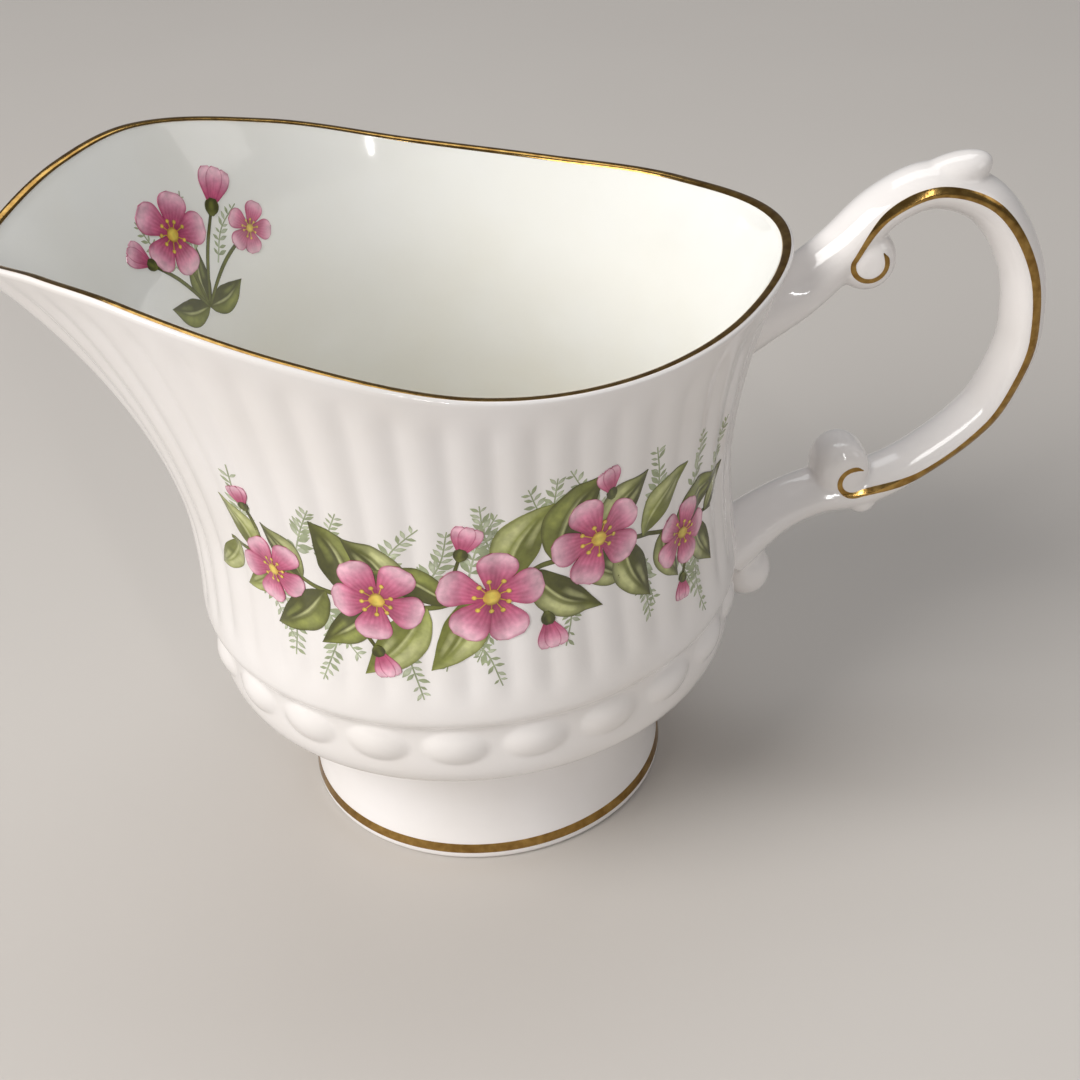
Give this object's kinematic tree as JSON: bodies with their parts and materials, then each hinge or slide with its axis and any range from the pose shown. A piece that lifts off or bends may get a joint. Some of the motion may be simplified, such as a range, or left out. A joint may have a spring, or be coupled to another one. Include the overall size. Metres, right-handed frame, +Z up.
{
  "type": "porcelain cream jug",
  "caption": "Footed porcelain cream jug with a pulled spout, fluted and beaded bowl, scroll handle with thumb rest, and gold lines on rim, handle and foot.",
  "frame": {"origin": "middle of the jug's box at the base of the foot, on the surface it stands on", "axes": "+X towards the handle and -X towards the spout, the longest way across; +Y across the bowl, the shortest way; +Z up"},
  "size_m": [0.1462, 0.0818, 0.0985],
  "materials": {
    "porcelain": "clear glossy glaze over white bone china",
    "gold": "fired burnished gold, a little worn"
  },
  "bodies": {
    "root": {"jug_body": "porcelain", "foot": "porcelain", "handle": "porcelain", "rim_gilding": "gold", "foot_gilding": "gold", "handle_gilding_front": "gold", "handle_gilding_back": "gold"}
  },
  "joints": []
}
